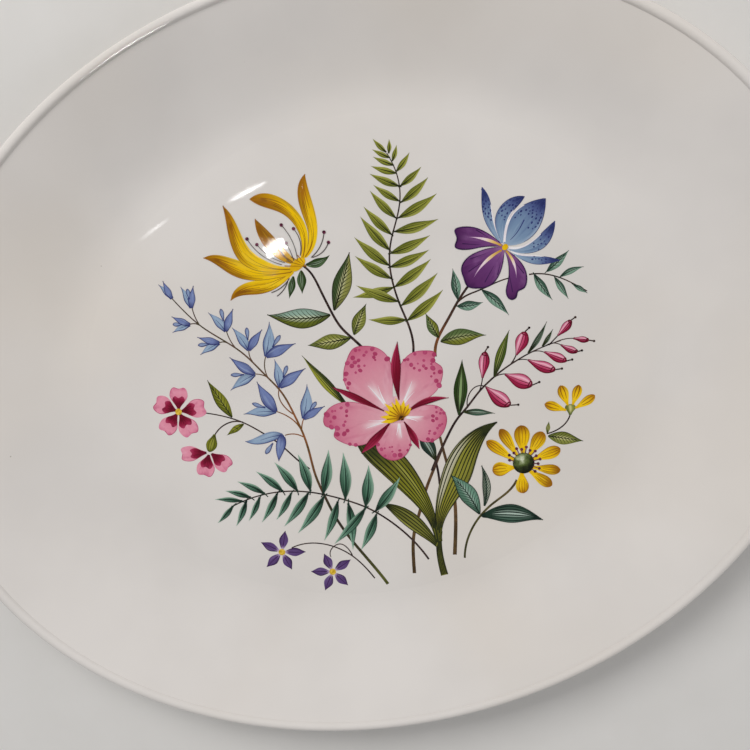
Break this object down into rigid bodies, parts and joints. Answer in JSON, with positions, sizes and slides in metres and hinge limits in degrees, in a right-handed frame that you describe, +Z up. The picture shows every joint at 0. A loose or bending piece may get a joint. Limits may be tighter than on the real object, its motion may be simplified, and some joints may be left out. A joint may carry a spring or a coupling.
{
  "type": "serving platter",
  "caption": "Oval coupe serving platter in glazed china on a low foot ring, with a rolled lip and a printed botanical bouquet in the well.",
  "frame": {"origin": "middle of the foot ring, on the surface that the platter stands on", "axes": "+Z up out of the well, +X along the length of the oval, +Y along its width towards the top of the picture"},
  "size_m": [0.312, 0.257, 0.0225],
  "materials": {
    "clay": "bare fired china clay",
    "glaze": "gloss glaze",
    "enamel_yellow": "gloss overglaze enamel",
    "enamel_fern_green": "gloss overglaze enamel",
    "enamel_leaf_green": "gloss overglaze enamel",
    "enamel_teal": "gloss overglaze enamel",
    "enamel_iris_blue": "gloss overglaze enamel",
    "enamel_bell_blue": "gloss overglaze enamel",
    "enamel_dark_blue": "gloss overglaze enamel",
    "enamel_purple": "gloss overglaze enamel",
    "enamel_violet": "gloss overglaze enamel",
    "enamel_cream": "gloss overglaze enamel",
    "enamel_pink": "gloss overglaze enamel",
    "enamel_crimson": "gloss overglaze enamel",
    "enamel_dark_stem": "gloss overglaze enamel",
    "enamel_russet_stem": "gloss overglaze enamel",
    "enamel_plum": "gloss overglaze enamel"
  },
  "bodies": {
    "root": {"bluebell_far_lobes": "enamel_dark_blue", "bluebell_near_lobes": "enamel_bell_blue", "bluebell_stems": "enamel_russet_stem", "bluebell_tongues": "enamel_bell_blue", "clay_body": "clay", "cut_stems": "enamel_russet_stem", "daisy_leaves": "enamel_teal", "daisy_middle": "enamel_leaf_green", "daisy_petals": "enamel_yellow", "daisy_stamens": "enamel_plum", "daisy_stem": "enamel_dark_stem", "fern_fronds": "enamel_fern_green", "fern_stem": "enamel_dark_stem", "foot_recess_glaze": "glaze", "iris_blue_petals": "enamel_iris_blue", "iris_flashes": "enamel_cream", "iris_green_leaves": "enamel_leaf_green", "iris_purple_petals": "enamel_purple", "iris_stems": "enamel_dark_stem", "iris_teal_leaves": "enamel_teal", "outer_glaze": "glaze", "phlox_eye_dot": "enamel_yellow", "phlox_eyes": "enamel_crimson", "phlox_leaves": "enamel_leaf_green", "phlox_petals": "enamel_pink", "phlox_stems": "enamel_dark_stem", "pink_bell_flowers": "enamel_pink", "pink_bell_leaves": "enamel_leaf_green", "pink_bell_stems": "enamel_dark_stem", "pink_bell_styles": "enamel_dark_stem", "pink_flower_leaves": "enamel_leaf_green", "pink_flower_petals": "enamel_pink", "pink_flower_sepals": "enamel_crimson", "pink_flower_stamens": "enamel_yellow", "small_yellow_leaves": "enamel_leaf_green", "small_yellow_petals": "enamel_yellow", "small_yellow_stem": "enamel_dark_stem", "strap_leaves": "enamel_fern_green", "vetch_leaflets": "enamel_teal", "vetch_stem": "enamel_dark_stem", "violet_eyes": "enamel_yellow", "violet_petals": "enamel_violet", "violet_stems": "enamel_dark_stem", "yellow_flower_anthers": "enamel_plum", "yellow_flower_leaves": "enamel_leaf_green", "yellow_flower_petals": "enamel_yellow", "yellow_flower_stamens": "enamel_dark_stem", "yellow_flower_stem": "enamel_dark_stem"}
  },
  "joints": []
}
